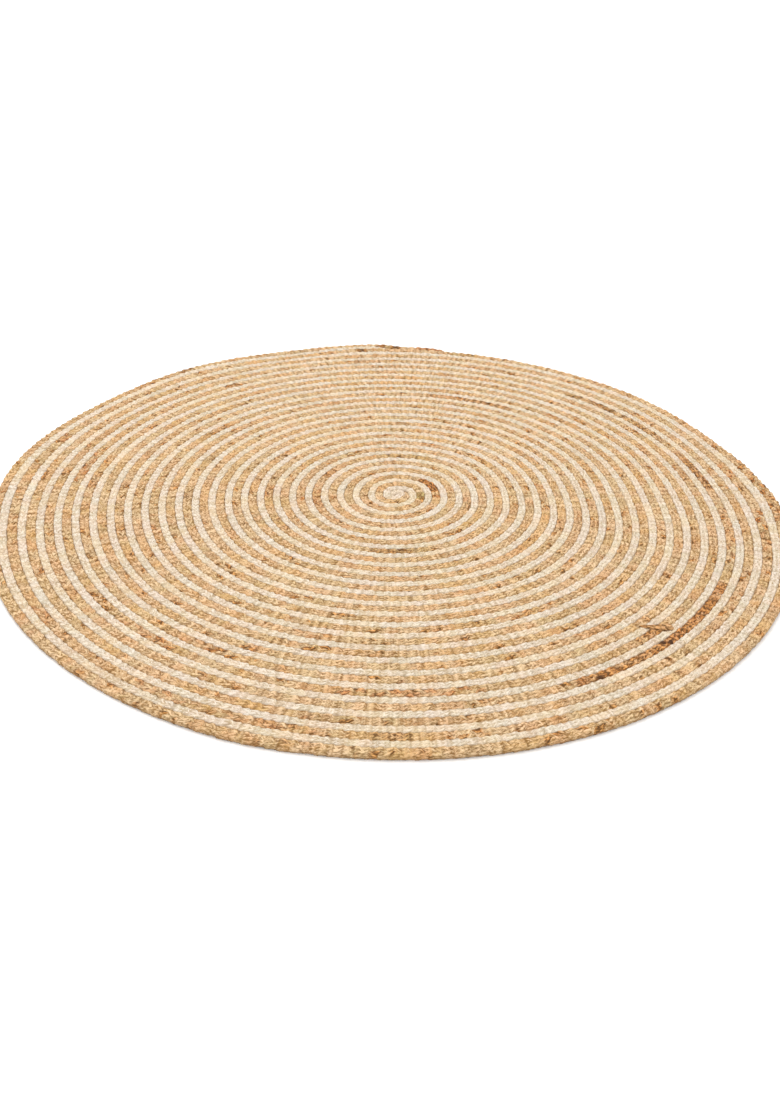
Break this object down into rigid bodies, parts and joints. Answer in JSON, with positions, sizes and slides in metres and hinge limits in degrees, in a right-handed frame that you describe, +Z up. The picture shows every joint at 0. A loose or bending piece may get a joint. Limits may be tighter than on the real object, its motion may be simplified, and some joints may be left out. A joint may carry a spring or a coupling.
{
  "type": "round jute rug",
  "caption": "Round flat rug of natural and bleached jute plaits, coiled together from the middle and sewn row to row.",
  "frame": {"origin": "centre of the coil, at the floor, on the rug's underside", "axes": "+Z up, square to the floor; the braids' outer ends lie towards +Y"},
  "size_m": [1.4899, 1.4986, 0.009],
  "materials": {
    "natural_jute": "matt, coarse plaited fibre",
    "white_jute": "matt, coarse plaited fibre"
  },
  "bodies": {
    "root": {"natural_braid": "natural_jute", "white_braid": "white_jute"}
  },
  "joints": []
}
